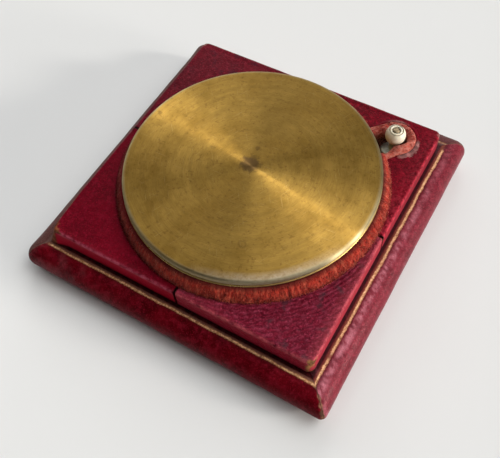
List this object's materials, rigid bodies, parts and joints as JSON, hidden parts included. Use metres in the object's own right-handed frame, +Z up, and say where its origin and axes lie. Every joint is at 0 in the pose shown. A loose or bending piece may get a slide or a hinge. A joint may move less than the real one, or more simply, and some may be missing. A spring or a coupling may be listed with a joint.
{
  "type": "desk compass",
  "caption": "Round brass compass with a slip-on lid and needle arrest, in the lower half of a square leather fitted case.",
  "frame": {"origin": "middle of the case's underside, on the table", "axes": "+Z up out of the case, +X to the right and -Y towards the front edge, the knob at the right back corner"},
  "size_m": [0.0762, 0.0762, 0.0181],
  "materials": {
    "edge_leather": "polished dark red morocco, worn at the corners",
    "block_leather": "crimson morocco, satin, rubbed paler at the edges",
    "suede": "raw orange-red suede, matt",
    "wood": "plain softwood, unvarnished",
    "lid_brass": "spun and brushed round the middle, old lacquer",
    "drum_brass": "turned, dulled",
    "small_brass": "filed and turned",
    "silvered_brass": "silvered, matt, engraved",
    "steel": "turned steel",
    "blued_steel": "heat-blued, polished",
    "arrest_metal": "tinned brass with a pale green bloom",
    "bone": "turned bone, satin, cream",
    "glass": "clear flat crystal"
  },
  "bodies": {
    "case": {"bottom_panel": "edge_leather", "base_board": "wood", "block_core": "wood", "base_edge_front": "edge_leather", "base_edge_right": "edge_leather", "base_edge_back": "edge_leather", "base_edge_left": "edge_leather", "corner_cover_near": "block_leather", "corner_cover_right": "block_leather", "corner_cover_far": "block_leather", "corner_cover_left": "block_leather", "well_floor_suede": "suede", "well_lining": "suede", "knob_recess_lining": "suede"},
    "compass": {"drum_bowl": "drum_brass", "dial_plate": "silvered_brass", "degree_ring": "silvered_brass", "glass": "glass", "glass_snap_ring": "small_brass", "pivot_post": "steel", "lever_bracket": "small_brass", "lever_pin": "steel", "bracket_screw_1": "steel", "bracket_screw_2": "steel", "arrest_spring": "steel", "spring_screw": "steel"},
    "lid": {"lid": "lid_brass"},
    "lever": {"arrest_lever": "arrest_metal", "knob": "bone", "knob_pin": "small_brass"},
    "lifter": {"lifting_collar": "small_brass"},
    "needle": {"needle": "blued_steel", "needle_cap": "small_brass"}
  },
  "joints": [
    {"name": "compass_lift", "type": "slide", "parent": "case", "child": "compass", "axis": [0, 0, 1], "range_m": [0, 0.03]},
    {"name": "lid_lift", "type": "slide", "parent": "compass", "child": "lid", "axis": [0, 0, 1], "range_m": [0, 0.02]},
    {"name": "arrest_press", "type": "hinge", "parent": "compass", "child": "lever", "pos_m": [0.00982, 0.01035, 0.006], "axis": [-0.7431, 0.6691, 0], "range_deg": [0, 4], "stiffness_Nm_per_rad": 0.04, "springref_deg": -4.58},
    {"name": "needle_lift", "type": "slide", "parent": "compass", "child": "lifter", "axis": [0, 0, 1], "range_m": [0, 0.000977]},
    {"name": "needle_turn", "type": "hinge", "parent": "lifter", "child": "needle", "pos_m": [0.00045, -0.00005, 0.0104], "axis": [0, 0, 1], "continuous": true}
  ],
  "couplings": [
    {"joint": "arrest_press", "follows": "needle_lift", "rad_per_m": 71.429}
  ]
}
